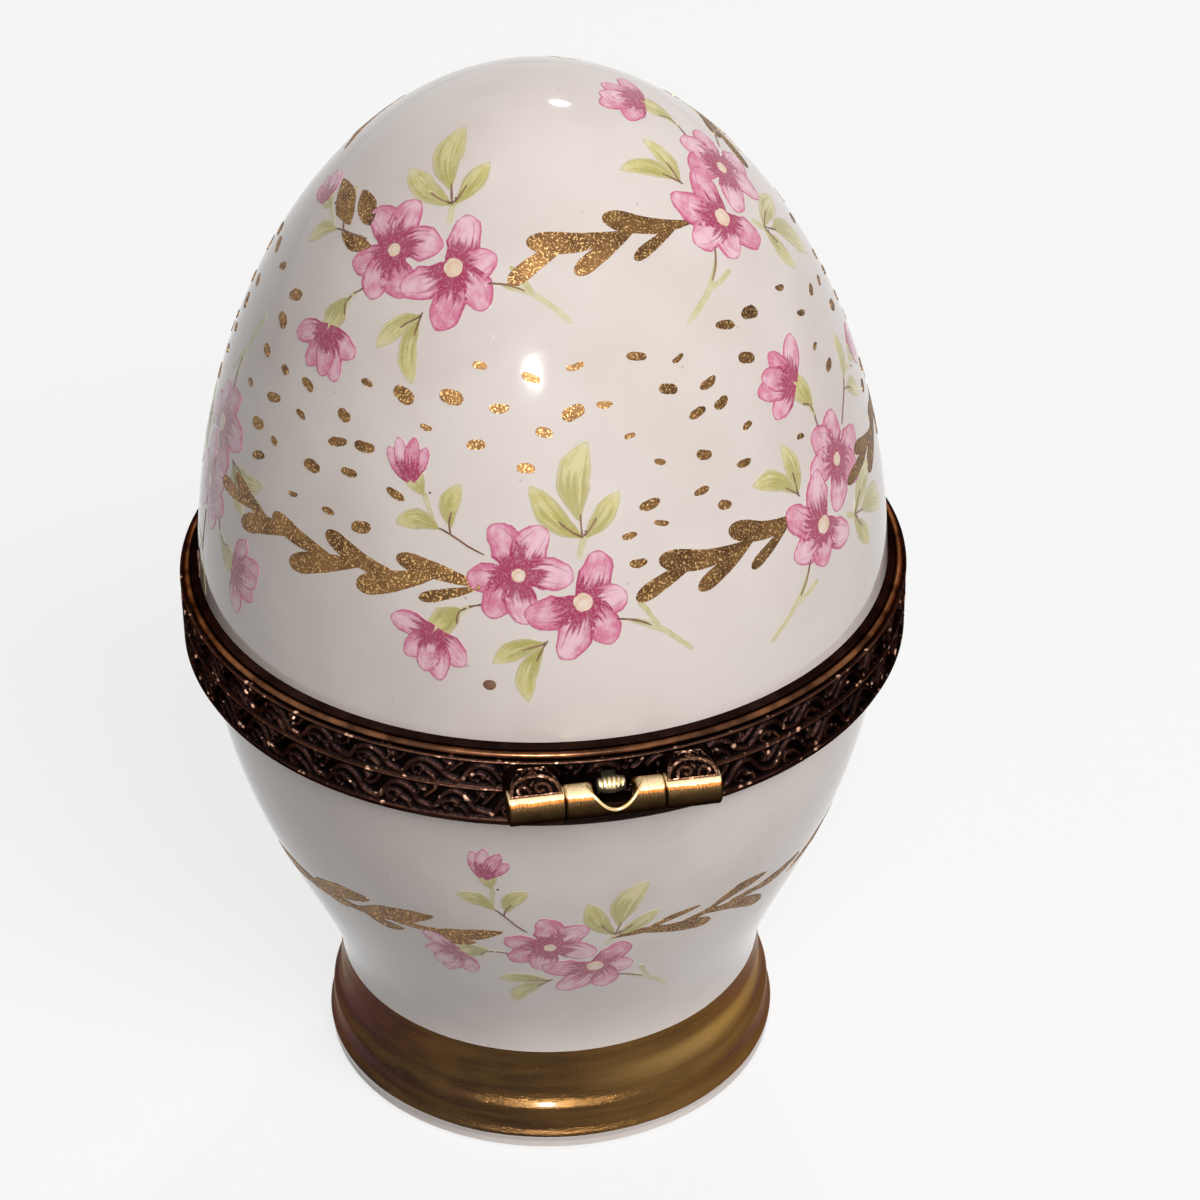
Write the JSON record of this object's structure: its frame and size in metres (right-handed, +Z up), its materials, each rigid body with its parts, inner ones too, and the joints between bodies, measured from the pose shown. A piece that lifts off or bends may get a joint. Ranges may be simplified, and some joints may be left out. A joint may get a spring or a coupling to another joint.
{
  "type": "decorative egg box",
  "caption": "Hinged porcelain egg box on a gilded flared foot, with painted flower sprays, chased antique-brass mounts, a barrel clasp with a thumb bead and a barrel hinge.",
  "frame": {"origin": "middle of the foot, on the surface that the egg stands on", "axes": "+Z up through the tip of the egg; -Y towards the clasp, +Y towards the hinge; +X to the right of someone facing the clasp"},
  "size_m": [0.05, 0.0552, 0.076],
  "materials": {
    "porcelain": "glossy glaze",
    "cement": "matt",
    "aged_brass": "antiqued, rubbed on the crests",
    "bright_brass": "polished",
    "pin_brass": "drawn, satin",
    "spring_brass": "rolled, satin"
  },
  "bodies": {
    "base": {"base_bowl": "porcelain", "base_cement_bed": "cement", "base_bezel": "aged_brass", "base_chased_strip": "aged_brass", "base_edge_wire": "aged_brass", "clasp_centre_barrel": "bright_brass", "hinge_centre_knuckle": "bright_brass", "hinge_pin": "pin_brass"},
    "lid": {"lid_shell": "porcelain", "lid_cement_bed": "cement", "lid_bezel": "aged_brass", "lid_chased_strip": "aged_brass", "lid_bead_wire": "bright_brass", "clasp_left_barrel": "bright_brass", "clasp_right_barrel": "bright_brass", "hinge_left_knuckle": "bright_brass", "hinge_right_knuckle": "bright_brass"},
    "catch": {"clasp_tongue": "spring_brass", "clasp_thumb_bead": "bright_brass"}
  },
  "joints": [
    {"name": "lid_hinge", "type": "hinge", "parent": "base", "child": "lid", "pos_m": [0, 0.02645, 0.0383], "axis": [-1, 0, 0], "range_deg": [0, 100]},
    {"name": "thumb_catch", "type": "hinge", "parent": "lid", "child": "catch", "pos_m": [0, -0.02397, 0.04025], "axis": [1, 0, 0], "range_deg": [0, 9], "stiffness_Nm_per_rad": 0.004, "springref_deg": -5.73}
  ]
}
